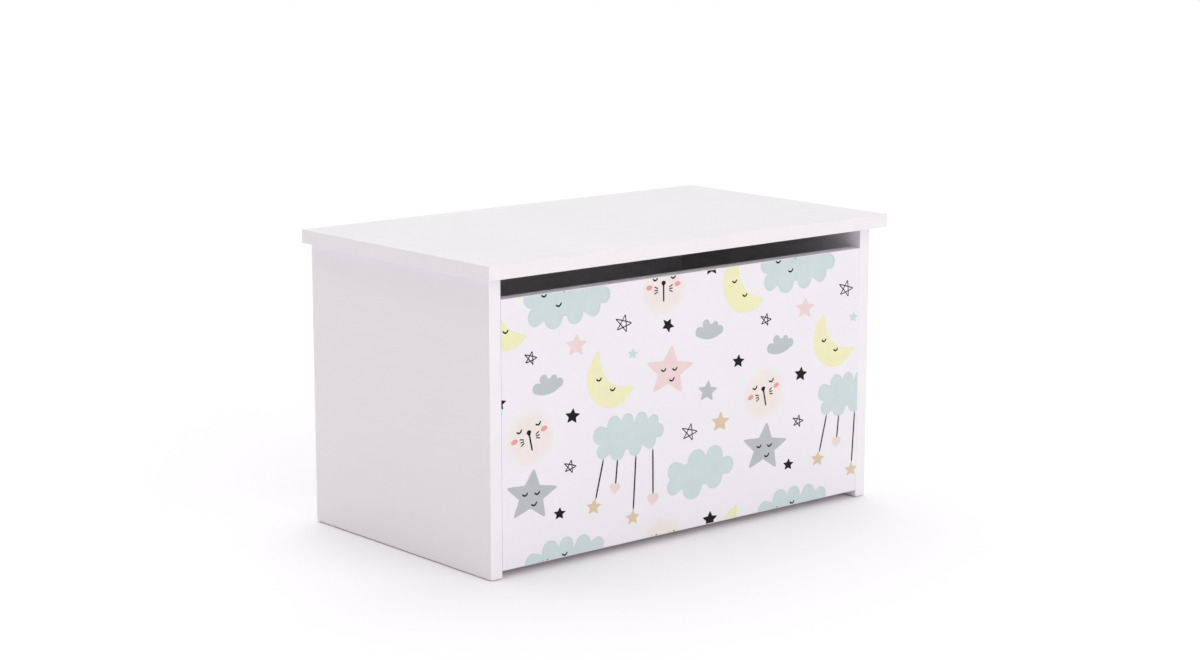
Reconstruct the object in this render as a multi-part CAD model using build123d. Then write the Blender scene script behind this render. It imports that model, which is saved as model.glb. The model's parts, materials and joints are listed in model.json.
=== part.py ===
from build123d import *
import math
import os

# Toy box of 18 mm melamine-faced board, with a hinged lid.
# Frame: origin on the floor at the middle of the footprint, +X to the right, the front faces -Y, +Z up.

# ---- Overall sizes (mm) ----
lid_width = 694.0
lid_depth = 400.0
overall_height = 400.0
board = 18.0

# ---- Layout ----
side_overhang = 14.5      # lid past each side panel
front_overhang = 19.0     # lid past the front panel's face
hand_gap = 28.5           # between the lid and the top of the front panel
ground_gap = 10.5         # under the front, back and bottom panels
glide_height = 1.5        # side panels above the floor
joint_gap = 0.25          # at each end of a panel that stands between the sides
edging = 1.0              # thickness of the edging strips
edging_round = 0.5        # rounding of their outer corners
film = 0.2                # printed film on the front panel

# ---- Hinges ----
hinge_length = 60.0
hinge_inset = 110.0       # from a side panel's outer face to the middle of its hinge
leaf = 1.1                # leaf thickness
leaf_gap = 0.2            # between the closed leaves
leaf_margin = 0.8         # leaf's front edge from the back panel's inner face
hinge_pin_radius = 1.5
running_fit = 0.05        # radial clearance of a turning pin
knuckle_wall = 1.2
knuckle_count = 5
knuckle_gap = 0.2         # along the pin, between neighbouring knuckles
moving_gap = 0.3          # clearance between pieces that move past each other
pin_head = 1.0            # thickness of a pin's head
lid_open_angle = 80.0

# ---- Hinge and bracket screws ----
screw_radius = 1.6
screw_head_radius = 3.2
hinge_screw_length = 14.0
bracket_screw_length = 14.0
hinge_screw_spacing = 40.0
thread_clearance = 0.05   # around a screw or glide pin in its hole
recess_length = 3.4       # cross recess in a screw's head
recess_width = 0.9
recess_depth = 1.2
tool_run = 1.0            # how far a cut runs past the face that it starts from

# ---- Dowels and cam fittings ----
dowel_radius = 4.0
dowel_in_side = 11.0
dowel_in_panel = 19.0
dowel_chamfer = 0.8
dowel_clearance = 0.1
bolt_thread_radius = 3.0
bolt_in_side = 11.0
bolt_hole_radius = 4.0
bolt_neck_radius = 2.0
bolt_head_radius = 3.4
bolt_head_length = 3.5
bolt_head_setback = 1.5   # head's end from the cam's centre
bolt_head_clearance = 0.5
cam_distance = 34.0       # cam's centre from the panel's end
cam_radius = 7.5
cam_height = 12.5
cam_clearance = 0.1
cam_floor_gap = 0.3       # between the cam and the floor of its bore
cam_slot_length = 9.0     # cross slot for the screwdriver
cam_slot_width = 1.3
cam_slot_depth = 1.8
cover_radius = 8.5
cover_height = 0.8
cover_round = 0.55
cam_inset = 60.0          # cam from the panel's long edge
dowel_inset = 92.0        # dowel from the panel's long edge

# ---- Gas strut ----
pivot_radius = 200.0      # from the hinge pin to each of the strut's two pivots
lid_pivot_drop = 18.0     # strut pivot below the lid
strut_offset = 12.0       # strut's middle plane from the side panel's inner face
tube_radius = 7.5
tube_wall = 1.2
rod_radius = 3.0
rod_socket = 6.0          # rod's length inside its eye
spigot_radius = 2.2       # rod's end inside the piston
piston_radius = 6.0
piston_length = 8.0
piston_margin = 4.0       # between the piston and the guide when the strut is fully open
gas_space = 7.5           # between the piston and the tube's closed end when the strut is closed
guide_length = 14.0
eye_radius = 6.0
eye_width = 9.0
eye_neck_radius = 4.0
eye_pin_radius = 2.5
eye_length = 13.0         # from the pivot to where the tube or rod starts
rod_stop = 4.0            # rod left outside the closed strut's guide, beyond the eye
bracket_plate = 2.0
bracket_length = 52.0
bracket_width = 24.0
bracket_hole_spacing = 36.0
bracket_round = 8.0
lid_bracket_reach = 34.0  # lid bracket's width across the lid
lid_bracket_hole = 8.0    # screws from the lid bracket's far edge
collar_radius = 5.0       # pivot pin's collar
pin_end = 1.0             # pivot pin beyond its clip
clip_height = 1.2
clip_radius = 4.5

# ---- Bumpers and glides ----
bumper_radius = 5.0
bumper_inset = 40.0       # from a side panel's front or rear edge
glide_radius = 7.5
glide_pin_radius = 2.5
glide_pin_length = 10.0
glide_inset = 30.0

# ---- Derived planes ----
hinge_gap = 2 * leaf + leaf_gap
knuckle_radius = hinge_pin_radius + running_fit + knuckle_wall
hinge_reach = 2 * knuckle_radius + moving_gap      # barrels behind the rear face
lid_front = -(lid_depth + hinge_reach) / 2
rear = lid_front + lid_depth
front = lid_front + front_overhang
outer_x = lid_width / 2 - side_overhang
inner_x = outer_x - board
back_inner = rear - board
lid_under = overall_height - board
side_top = lid_under - hinge_gap
front_top = lid_under - hand_gap
floor_top = ground_gap + board
pin_y = rear + moving_gap + knuckle_radius
pin_z = side_top + leaf + leaf_gap / 2
panel_end = inner_x - joint_gap
hinge_x = outer_x - hinge_inset

# ---- Derived strut geometry ----
# Both pivots lie at the same radius from the hinge pin, so the strut turns by exactly half the lid's angle.
# The box pivot's angle round the pin is the one at which the closed strut holds its stroke and its dead length.
tube_mouth = eye_length + rod_stop                 # tube's open end from the box pivot, closed
tube_inner = tube_radius - tube_wall
end_wall = 2 * tube_wall
dead_length = tube_mouth + guide_length + piston_margin + piston_length + gas_space + end_wall + eye_length
half_turn = math.radians(lid_open_angle) / 2
sine_part = 2 - math.cos(half_turn)
cosine_part = math.sin(half_turn)
reach = dead_length / 2 / pivot_radius / math.hypot(sine_part, cosine_part)
closed_half_angle = math.atan2(cosine_part, sine_part) + math.asin(reach)
closed_length = 2 * pivot_radius * math.sin(closed_half_angle)
stroke = closed_length - dead_length
piston_start = tube_mouth + guide_length + stroke + piston_margin
lid_pivot_z = lid_under - lid_pivot_drop
lid_pivot_angle = math.asin((pin_z - lid_pivot_z) / pivot_radius)
box_pivot_angle = lid_pivot_angle + 2 * closed_half_angle
lid_pivot_y = pin_y - pivot_radius * math.cos(lid_pivot_angle)
box_pivot_y = pin_y - pivot_radius * math.cos(box_pivot_angle)
box_pivot_z = pin_z - pivot_radius * math.sin(box_pivot_angle)
strut_x = -inner_x + strut_offset
strut_tilt = math.degrees(math.atan2(box_pivot_y - lid_pivot_y, lid_pivot_z - box_pivot_z))


def slab(x0, x1, y0, y1, z0, z1):
    """Block between two opposite corners."""
    centre = Pos((x0 + x1) / 2, (y0 + y1) / 2, (z0 + z1) / 2)
    return centre * Box(x1 - x0, y1 - y0, z1 - z0)


def rod_x(radius, x0, x1, y=0.0, z=0.0):
    """Round bar along X."""
    bar = Rotation(0, 90, 0) * Cylinder(radius, x1 - x0)
    return Pos((x0 + x1) / 2, y, z) * bar


def rod_z(radius, z0, z1, x=0.0, y=0.0):
    """Round bar along Z."""
    return Pos(x, y, (z0 + z1) / 2) * Cylinder(radius, z1 - z0)


def at_all(shape, places):
    """Copies of a shape, one at each place."""
    return [place * shape for place in places]


# ---- Fixings at a panel's end ----
# Local frame: origin on the side panel's inner face at the panel's mid thickness,
# X from the side panel into the panel's end, Z towards the face that the cam is let into.
def dowel():
    """Wooden dowel with chamfered ends."""
    bar = rod_x(dowel_radius, -dowel_in_side, dowel_in_panel)
    return chamfer(bar.edges().filter_by(GeomType.CIRCLE), dowel_chamfer)


def dowel_hole():
    """Drilling for a dowel, through the joint and a little longer at each end."""
    return rod_x(dowel_radius + dowel_clearance, -dowel_in_side - tool_run, dowel_in_panel + tool_run)


def cam_bolt():
    """Cam bolt: thread in the side panel, shank, neck and head in the cam."""
    neck_start = cam_distance - cam_radius - tool_run
    head_end = cam_distance - bolt_head_setback
    head_start = head_end - bolt_head_length
    bolt = rod_x(bolt_thread_radius, -bolt_in_side, neck_start)
    bolt += rod_x(bolt_neck_radius, neck_start, head_start)
    bolt += rod_x(bolt_head_radius, head_start, head_end)
    return bolt


def cam_bolt_hole():
    """Drillings for a cam bolt: a tight one in the side panel and a wide one in the panel's end."""
    tight = rod_x(bolt_thread_radius + thread_clearance, -bolt_in_side - tool_run, 0)
    return tight + rod_x(bolt_hole_radius, -joint_gap, cam_distance)


def cam_lock():
    """Round cam with a pocket for the bolt's head and a cross slot for the screwdriver."""
    top = board / 2 - moving_gap
    bottom = board / 2 - cam_height
    cam = rod_z(cam_radius, bottom, top, x=cam_distance)
    cam -= rod_x(bolt_head_radius + bolt_head_clearance, cam_distance - cam_radius - tool_run, cam_distance)
    for turn in (0, 90):
        slot = Rotation(0, 0, turn) * Box(cam_slot_length, cam_slot_width, 2 * cam_slot_depth)
        cam -= Pos(cam_distance, 0, top) * slot
    return cam


def cam_bore():
    """Flat-bottomed bore for a cam."""
    floor = board / 2 - cam_height - cam_floor_gap
    return rod_z(cam_radius + cam_clearance, floor, board / 2 + tool_run, x=cam_distance)


def cam_cover():
    """Press-on cover disc with a rounded rim."""
    disc = rod_z(cover_radius, board / 2, board / 2 + cover_height, x=cam_distance)
    rim = disc.edges().filter_by(GeomType.CIRCLE).sort_by(Axis.Z)[-1]
    return fillet(rim, cover_round)


def end_frames(positions, face):
    """Local frames at both ends of a panel, at each (y, z), with the cam's face towards the given direction."""
    frames = []
    for y, z in positions:
        frames.append(Plane(origin=(-inner_x, y, z), x_dir=(1, 0, 0), z_dir=face).location)
        frames.append(Plane(origin=(inner_x, y, z), x_dir=(-1, 0, 0), z_dir=face).location)
    return frames


def inset_pair(low, high, inset):
    """Two positions, each the same inset from one of the ends."""
    return (low + inset, high - inset)


front_middle = front + board / 2
back_middle = rear - board / 2
bottom_middle = ground_gap + board / 2
bottom_front = front + board
joints = (
    ([(front_middle, z) for z in inset_pair(ground_gap, front_top, cam_inset)],
     [(front_middle, z) for z in inset_pair(ground_gap, front_top, dowel_inset)], (0, 1, 0)),
    ([(back_middle, z) for z in inset_pair(ground_gap, side_top, cam_inset)],
     [(back_middle, z) for z in inset_pair(ground_gap, side_top, dowel_inset)], (0, -1, 0)),
    ([(y, bottom_middle) for y in inset_pair(bottom_front, back_inner, cam_inset)],
     [(y, bottom_middle) for y in inset_pair(bottom_front, back_inner, dowel_inset)], (0, 0, -1)),
)
cam_frames = [frame for cams, dowels, face in joints for frame in end_frames(cams, face)]
side_dowel_frames = [frame for cams, dowels, face in joints for frame in end_frames(dowels, face)]


def cross_dowel_frames():
    """Local frames of the dowels between the bottom panel and the front and back panels."""
    frames = []
    for x in (-inner_x * 2 / 3, 0.0, inner_x * 2 / 3):
        frames.append(Plane(origin=(x, bottom_front, bottom_middle), x_dir=(0, 1, 0), z_dir=(0, 0, 1)).location)
        frames.append(Plane(origin=(x, back_inner, bottom_middle), x_dir=(0, -1, 0), z_dir=(0, 0, 1)).location)
    return frames


dowel_frames = side_dowel_frames + cross_dowel_frames()


def joint_drillings():
    """Every drilling for the dowels, cam bolts and cams."""
    tools = at_all(dowel_hole(), dowel_frames)
    tools += at_all(cam_bolt_hole(), cam_frames)
    tools += at_all(cam_bore(), cam_frames)
    return tools


# ---- Screws ----
# Local frame: the head's flat face at the origin, the thread along -Z.
def screw(length, clearance=0.0):
    """Countersunk screw, or with a clearance the hole that it sits in."""
    radius = screw_radius + clearance
    head = screw_head_radius + clearance
    depth = head - radius
    shank = rod_z(radius, -length - clearance, 0)
    return shank + Pos(0, 0, -depth / 2) * Cone(radius, head, depth)


def driven_screw(length):
    """Countersunk screw with a cross recess in its head."""
    body = screw(length)
    for turn in (0, 90):
        body -= Rotation(0, 0, turn) * Box(recess_length, recess_width, 2 * recess_depth)
    return body


def hinge_screw_frames(into_lid):
    """Head positions of the hinge screws, in both leaves that are fixed to the lid or to the back panel."""
    head_z = lid_under - leaf if into_lid else side_top + leaf
    turn = 180 if into_lid else 0
    frames = []
    for middle in (-hinge_x, hinge_x):
        for offset in (-hinge_screw_spacing / 2, hinge_screw_spacing / 2):
            frames.append(Location((middle + offset, back_middle, head_z), (turn, 0, 0)))
    return frames


# ---- Panels ----
def side_panel(sign):
    """Side panel without its edging, drilled for the joints, the glides and the strut's bracket."""
    x0, x1 = sorted((sign * inner_x, sign * outer_x))
    core = slab(x0, x1, front + edging, rear - edging, glide_height + edging, side_top - edging)
    tools = joint_drillings() + at_all(glide_pin(thread_clearance), glide_frames())
    if sign < 0:
        tools += at_all(screw(bracket_screw_length, thread_clearance), box_bracket_screw_frames())
    return core - tools


def front_panel():
    """Front panel without its edging and film."""
    core = slab(-panel_end, panel_end, front + film, front + board, ground_gap + edging, front_top - edging)
    return core - joint_drillings()


def back_panel():
    """Back panel, up to the hinge leaves, without its edging."""
    core = slab(-panel_end, panel_end, back_inner, rear, ground_gap + edging, side_top - edging)
    screws = at_all(screw(hinge_screw_length, thread_clearance), hinge_screw_frames(False))
    return core - (joint_drillings() + screws)


def bottom_panel():
    """Bottom panel between the four upright panels."""
    core = slab(-panel_end, panel_end, bottom_front, back_inner, ground_gap, floor_top)
    return core - joint_drillings()


def lid_panel():
    """Lid without its edging, drilled for the hinges and the strut's bracket."""
    half = lid_width / 2 - edging
    core = slab(-half, half, lid_front + edging, rear - edging, lid_under, overall_height)
    tools = at_all(screw(hinge_screw_length, thread_clearance), hinge_screw_frames(True))
    tools += at_all(screw(bracket_screw_length, thread_clearance), lid_bracket_screw_frames())
    return core - tools


# ---- Edging ----
def strip(x0, x1, y0, y1, z0, z1, run, outward):
    """Edging strip along one axis, with its two long outer corners rounded."""
    body = slab(x0, x1, y0, y1, z0, z1)
    return fillet(face_towards(body, outward).edges().filter_by(run), edging_round)


def face_towards(body, direction):
    """The flat face that looks in a direction."""
    wanted = Vector(*direction)
    return max(body.faces(), key=lambda face: face.normal_at().dot(wanted))


def side_edging(sign):
    """Four strips round a side panel: front and rear over the full height, top and bottom between them."""
    x0, x1 = sorted((sign * inner_x, sign * outer_x))
    bottom, top = glide_height, side_top
    strips = [
        strip(x0, x1, front, front + edging, bottom, top, Axis.Z, (0, -1, 0)),
        strip(x0, x1, rear - edging, rear, bottom, top, Axis.Z, (0, 1, 0)),
        strip(x0, x1, front + edging, rear - edging, top - edging, top, Axis.Y, (0, 0, 1)),
    ]
    under = strip(x0, x1, front + edging, rear - edging, bottom, bottom + edging, Axis.Y, (0, 0, -1))
    strips.append(under - at_all(glide_pin(thread_clearance), glide_frames()))
    return strips


def panel_edging(y0, y1, bottom, top):
    """Strips along the bottom and top edges of the front or back panel."""
    return [
        strip(-panel_end, panel_end, y0, y1, bottom, bottom + edging, Axis.X, (0, 0, -1)),
        strip(-panel_end, panel_end, y0, y1, top - edging, top, Axis.X, (0, 0, 1)),
    ]


def back_panel_edging():
    """The back panel's two strips, with the hinge screws' holes through the top one."""
    under, upper = panel_edging(back_inner, rear, ground_gap, side_top)
    return [under, upper - at_all(screw(hinge_screw_length, thread_clearance), hinge_screw_frames(False))]


def lid_edging():
    """Four strips round the lid: front and rear over the full width, left and right between them."""
    half = lid_width / 2
    z0, z1 = lid_under, overall_height
    return [
        strip(-half, half, lid_front, lid_front + edging, z0, z1, Axis.X, (0, -1, 0)),
        strip(-half, half, rear - edging, rear, z0, z1, Axis.X, (0, 1, 0)),
        strip(-half, -half + edging, lid_front + edging, rear - edging, z0, z1, Axis.Y, (-1, 0, 0)),
        strip(half - edging, half, lid_front + edging, rear - edging, z0, z1, Axis.Y, (1, 0, 0)),
    ]


def front_print_film():
    """Printed film over the front panel's face, between its top and bottom edging."""
    return slab(-panel_end, panel_end, front, front + film, ground_gap + edging, front_top - edging)


# ---- Hinges ----
def knuckles(middle, first):
    """Every second knuckle of a barrel, starting with the given one, as solid bars."""
    pitch = hinge_length / knuckle_count
    start = middle - hinge_length / 2
    bars = []
    for number in range(first, knuckle_count, 2):
        x0 = start + number * pitch + knuckle_gap / 2
        bars.append((x0, x0 + pitch - knuckle_gap))
    return bars


def hinge_leaf(middle, first, z0, screw_frames):
    """Leaf plate with its rolled knuckles, bored for the pin and countersunk for the screws."""
    x0, x1 = middle - hinge_length / 2, middle + hinge_length / 2
    plate = slab(x0, x1, back_inner + leaf_margin, rear, z0, z0 + leaf)
    for bar_start, bar_end in knuckles(middle, first):
        plate += slab(bar_start, bar_end, rear, pin_y, z0, z0 + leaf)
        plate += rod_x(knuckle_radius, bar_start, bar_end, pin_y, pin_z)
    plate -= rod_x(hinge_pin_radius + running_fit, x0 - tool_run, x1 + tool_run, pin_y, pin_z)
    return plate - at_all(screw(hinge_screw_length, thread_clearance), screw_frames)


def hinge_pin(middle):
    """Hinge pin with a flat head at each end."""
    half = hinge_length / 2
    pin = rod_x(hinge_pin_radius, middle - half - pin_head, middle + half + pin_head, pin_y, pin_z)
    for sign in (-1, 1):
        x0, x1 = sorted((middle + sign * half, middle + sign * (half + pin_head)))
        pin += rod_x(knuckle_radius, x0, x1, pin_y, pin_z)
    return pin


# ---- Gas strut ----
# Local frame: origin at the box pivot, Z along the closed strut towards the lid pivot, X as in the box.
strut_frame = Location((strut_x, box_pivot_y, box_pivot_z), (strut_tilt, 0, 0))


def strut_cylinder():
    """Tube with a closed end at the lid's side, open at the rod's side."""
    top = closed_length - eye_length
    tube = rod_z(tube_radius, tube_mouth, top)
    rims = tube.edges().filter_by(GeomType.CIRCLE)
    tube = fillet(rims.sort_by(Axis.Z)[-1], tube_wall)
    tube -= rod_z(tube_inner, tube_mouth, top - end_wall)
    return strut_frame * tube


def strut_guide():
    """Guide and seal in the tube's mouth, flush with its rim."""
    guide = rod_z(tube_inner - running_fit, tube_mouth, tube_mouth + guide_length)
    guide -= rod_z(rod_radius + running_fit, tube_mouth - tool_run, tube_mouth + guide_length + tool_run)
    return strut_frame * guide


def strut_rod():
    """Polished rod, with its piston end turned down to a spigot."""
    rod = rod_z(rod_radius, eye_length - rod_socket, piston_start)
    rod += rod_z(spigot_radius, piston_start, piston_start + piston_length)
    return strut_frame * rod


def strut_piston():
    """Piston ring on the rod's spigot."""
    end = piston_start + piston_length
    ring = rod_z(piston_radius, piston_start, end)
    ring -= rod_z(spigot_radius + running_fit, piston_start - tool_run, end + tool_run)
    return strut_frame * ring


def eye():
    """End eye: a round boss across the pivot with a neck along the strut."""
    body = rod_x(eye_radius, -eye_width / 2, eye_width / 2)
    body += rod_z(eye_neck_radius, 0, eye_length)
    body -= rod_x(eye_pin_radius + running_fit, -eye_width, eye_width)
    return body


def strut_rod_eye():
    """Eye screwed onto the rod's lower end."""
    body = eye()
    body -= rod_z(rod_radius + running_fit, eye_length - rod_socket - running_fit, eye_length + tool_run)
    return strut_frame * body


def strut_cylinder_eye():
    """Eye on the tube's closed end."""
    return strut_frame * (Pos(0, 0, closed_length) * Rotation(180, 0, 0) * eye())


def pivot_pin(y, z, plate_face):
    """Pivot pin of a bracket: collar beside the plate, journal in the eye and a thin end for the clip."""
    eye_start = strut_x - eye_width / 2
    eye_end = strut_x + eye_width / 2
    pin = rod_x(collar_radius, plate_face, eye_start - moving_gap, y, z)
    far_end = eye_end + 2 * moving_gap + clip_height + pin_end
    pin += rod_x(eye_pin_radius, eye_start - moving_gap, far_end, y, z)
    return pin


def retaining_clip(y, z):
    """Snap ring on a pivot pin's end."""
    x0 = strut_x + eye_width / 2 + moving_gap
    ring = rod_x(clip_radius, x0, x0 + clip_height, y, z)
    return ring - rod_x(eye_pin_radius + running_fit, x0 - tool_run, x0 + clip_height + tool_run, y, z)


def box_bracket_screw_frames():
    """Screw heads of the bracket on the left side panel's inner face."""
    half = bracket_hole_spacing / 2
    x = -inner_x + bracket_plate
    return [Location((x, box_pivot_y, box_pivot_z + dz), (0, 90, 0)) for dz in (-half, half)]


def strut_box_bracket():
    """Rounded plate on the left side panel's inner face, with its pivot pin."""
    plate = Box(bracket_plate, bracket_width, bracket_length)
    plate = fillet(plate.edges().filter_by(Axis.X), bracket_round)
    plate = Pos(-inner_x + bracket_plate / 2, box_pivot_y, box_pivot_z) * plate
    plate -= at_all(screw(bracket_screw_length, thread_clearance), box_bracket_screw_frames())
    return plate + pivot_pin(box_pivot_y, box_pivot_z, -inner_x + bracket_plate)


lid_flange_x = -inner_x + 3 * moving_gap           # lid bracket's upright plate, clear of the side panel


def lid_bracket_screw_frames():
    """Screw heads of the bracket under the lid."""
    half = bracket_hole_spacing / 2
    x = lid_flange_x + lid_bracket_reach - lid_bracket_hole
    z = lid_under - bracket_plate
    return [Location((x, lid_pivot_y + dy, z), (180, 0, 0)) for dy in (-half, half)]


def strut_lid_bracket():
    """Angle bracket under the lid: a flat plate and an upright flange with the pivot pin."""
    half = bracket_length / 2
    x0 = lid_flange_x
    plate = slab(x0, x0 + lid_bracket_reach, lid_pivot_y - half, lid_pivot_y + half,
                 lid_under - bracket_plate, lid_under)
    far_corners = plate.edges().filter_by(Axis.Z).group_by(Axis.X)[-1]
    plate = fillet(far_corners, bracket_round)
    low = lid_pivot_z - bracket_width / 2
    flange = slab(x0, x0 + bracket_plate, lid_pivot_y - bracket_width / 2, lid_pivot_y + bracket_width / 2,
                  low, lid_under)
    low_corners = flange.edges().filter_by(Axis.X).group_by(Axis.Z)[0]
    flange = fillet(low_corners, bracket_round)
    plate -= at_all(screw(bracket_screw_length, thread_clearance), lid_bracket_screw_frames())
    return plate + flange + pivot_pin(lid_pivot_y, lid_pivot_z, x0 + bracket_plate)


# ---- Bumpers and glides ----
def lid_bumpers():
    """Soft round bumpers on the side panels' top edges, which the closed lid rests on."""
    middle_x = (inner_x + outer_x) / 2
    pieces = []
    for x in (-middle_x, middle_x):
        for y in inset_pair(front, rear, bumper_inset):
            pieces.append(rod_z(bumper_radius, side_top, lid_under, x=x, y=y))
    return pieces


def glide_frames():
    """Glide positions under both side panels."""
    middle_x = (inner_x + outer_x) / 2
    return [Pos(x, y, 0) for x in (-middle_x, middle_x) for y in inset_pair(front, rear, glide_inset)]


def glide_pin(clearance=0.0):
    """Pin of a glide, or with a clearance its hole."""
    return rod_z(glide_pin_radius + clearance, glide_height, glide_height + glide_pin_length + clearance)


def floor_glide():
    """Plastic glide: a disc with a rounded rim and a pin that is pushed into the board."""
    disc = rod_z(glide_radius, 0, glide_height)
    rim = disc.edges().filter_by(GeomType.CIRCLE).sort_by(Axis.Z)[0]
    return fillet(rim, glide_height / 2) + glide_pin()


nodes = {
    "left_side_panel": lambda: side_panel(-1),
    "right_side_panel": lambda: side_panel(1),
    "front_panel": front_panel,
    "back_panel": back_panel,
    "bottom_panel": bottom_panel,
    "lid_panel": lid_panel,
    "left_side_edging": lambda: side_edging(-1),
    "right_side_edging": lambda: side_edging(1),
    "front_panel_edging": lambda: panel_edging(front, front + board, ground_gap, front_top),
    "back_panel_edging": back_panel_edging,
    "lid_edging": lid_edging,
    "front_print_film": front_print_film,
    "wooden_dowels": lambda: at_all(dowel(), dowel_frames),
    "cam_bolts": lambda: at_all(cam_bolt(), cam_frames),
    "cam_locks": lambda: at_all(cam_lock(), cam_frames),
    "cam_covers": lambda: at_all(cam_cover(), cam_frames),
    "left_hinge_box_leaf": lambda: hinge_leaf(-hinge_x, 0, side_top, hinge_screw_frames(False)),
    "left_hinge_lid_leaf": lambda: hinge_leaf(-hinge_x, 1, lid_under - leaf, hinge_screw_frames(True)),
    "left_hinge_pin": lambda: hinge_pin(-hinge_x),
    "right_hinge_box_leaf": lambda: hinge_leaf(hinge_x, 0, side_top, hinge_screw_frames(False)),
    "right_hinge_lid_leaf": lambda: hinge_leaf(hinge_x, 1, lid_under - leaf, hinge_screw_frames(True)),
    "right_hinge_pin": lambda: hinge_pin(hinge_x),
    "hinge_screws_box": lambda: at_all(driven_screw(hinge_screw_length), hinge_screw_frames(False)),
    "hinge_screws_lid": lambda: at_all(driven_screw(hinge_screw_length), hinge_screw_frames(True)),
    "strut_cylinder": strut_cylinder,
    "strut_guide": strut_guide,
    "strut_rod": strut_rod,
    "strut_piston": strut_piston,
    "strut_rod_eye": strut_rod_eye,
    "strut_cylinder_eye": strut_cylinder_eye,
    "strut_box_bracket": strut_box_bracket,
    "strut_lid_bracket": strut_lid_bracket,
    "strut_box_clip": lambda: retaining_clip(box_pivot_y, box_pivot_z),
    "strut_lid_clip": lambda: retaining_clip(lid_pivot_y, lid_pivot_z),
    "strut_box_screws": lambda: at_all(driven_screw(bracket_screw_length), box_bracket_screw_frames()),
    "strut_lid_screws": lambda: at_all(driven_screw(bracket_screw_length), lid_bracket_screw_frames()),
    "lid_bumpers": lid_bumpers,
    "floor_glides": lambda: at_all(floor_glide(), glide_frames()),
}


def solids_of(made):
    """Every solid of a shape or of a list of shapes."""
    shapes = made if isinstance(made, list) else [made]
    return [solid for shape in shapes for solid in shape.solids()]


os.makedirs("parts", exist_ok=True)
for name, build in nodes.items():
    solids = solids_of(build())
    shape = solids[0] if len(solids) == 1 else Compound(children=solids)
    export_step(shape, f"parts/{name}.step")

print("strut closed", round(closed_length, 2), "stroke", round(stroke, 2))
print("lid pivot", round(lid_pivot_y, 3), round(lid_pivot_z, 3))
print("box pivot", round(box_pivot_y, 3), round(box_pivot_z, 3))
print("hinge pin", round(pin_y, 3), round(pin_z, 3))
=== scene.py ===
"""Finishes, printed front, bumpers and studio stage for a white toy box with a hinged lid."""

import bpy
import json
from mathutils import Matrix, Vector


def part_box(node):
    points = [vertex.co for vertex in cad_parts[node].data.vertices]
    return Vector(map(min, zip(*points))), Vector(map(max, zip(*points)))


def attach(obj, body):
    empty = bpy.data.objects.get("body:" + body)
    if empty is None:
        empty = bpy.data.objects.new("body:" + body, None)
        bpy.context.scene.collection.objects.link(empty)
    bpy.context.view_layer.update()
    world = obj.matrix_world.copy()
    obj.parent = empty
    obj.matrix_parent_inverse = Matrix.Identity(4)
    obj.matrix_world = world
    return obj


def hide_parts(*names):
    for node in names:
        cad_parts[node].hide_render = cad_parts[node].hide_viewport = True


bl_info = {
    "name": "Toy box finishes",
    "version": (1, 0, 0),
    "blender": (4, 5, 0),
    "location": "View3D > Sidebar > Toy box",
    "description": "Finishes a white toy box, prints its front panel and sets up a studio round it",
    "category": "Object",
}

import json
import math

import bmesh
import bpy
import numpy as np
from bpy.props import FloatProperty, FloatVectorProperty, PointerProperty

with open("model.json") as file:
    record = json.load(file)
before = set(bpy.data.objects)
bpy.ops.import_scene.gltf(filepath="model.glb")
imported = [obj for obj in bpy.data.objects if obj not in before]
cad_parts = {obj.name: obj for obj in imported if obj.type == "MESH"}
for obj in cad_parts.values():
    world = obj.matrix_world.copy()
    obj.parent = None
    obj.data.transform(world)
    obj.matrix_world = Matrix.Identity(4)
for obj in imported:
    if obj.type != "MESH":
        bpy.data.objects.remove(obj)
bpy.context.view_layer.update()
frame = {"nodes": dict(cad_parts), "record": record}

MM = 0.001
INK_HEIGHTS = 5  # that the shapes of one ink take in turn, because they may lie over each other
INK_STEP = 0.002 * MM  # from one of these heights to the next


def colour(red, green, blue):
    """Linear colour of a paint chip given in display steps from 0 to 255."""
    shown = np.array((red, green, blue)) / 255
    return tuple(np.where(shown > 0.04045, ((shown + 0.055) / 1.055) ** 2.4, shown / 12.92))


def length(name, description, default):
    """Length setting in metres."""
    return FloatProperty(name=name, description=description, default=default, unit="LENGTH", precision=5)


def share(name, description, default):
    """Setting from 0 to 1."""
    return FloatProperty(name=name, description=description, default=default, min=0, max=1, subtype="FACTOR")


def angle(name, description, degrees):
    """Angle setting, kept in radians."""
    return FloatProperty(name=name, description=description, default=math.radians(degrees), subtype="ANGLE")


def chip(name, description, red, green, blue):
    """Colour setting, given in display steps from 0 to 255."""
    return FloatVectorProperty(name=name, description=description, default=colour(red, green, blue),
                               min=0, max=1, subtype="COLOR")


# ---- Settings ----
class BoardSettings(bpy.types.PropertyGroup):
    """Colours and gloss of the boards, the edging and the film."""
    board: chip("Board", "Melamine face of the boards", 242, 239, 242)
    edging: chip("Edging", "Plastic strips round the boards", 242, 239, 242)
    film: chip("Film", "White ground of the printed film", 241, 238, 242)
    board_roughness: share("Board roughness", "Roughness of the melamine face", 0.42)
    edging_roughness: share("Edging roughness", "Roughness of the edging strips", 0.36)
    film_roughness: share("Film roughness", "Roughness of the printed film", 0.48)


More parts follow.
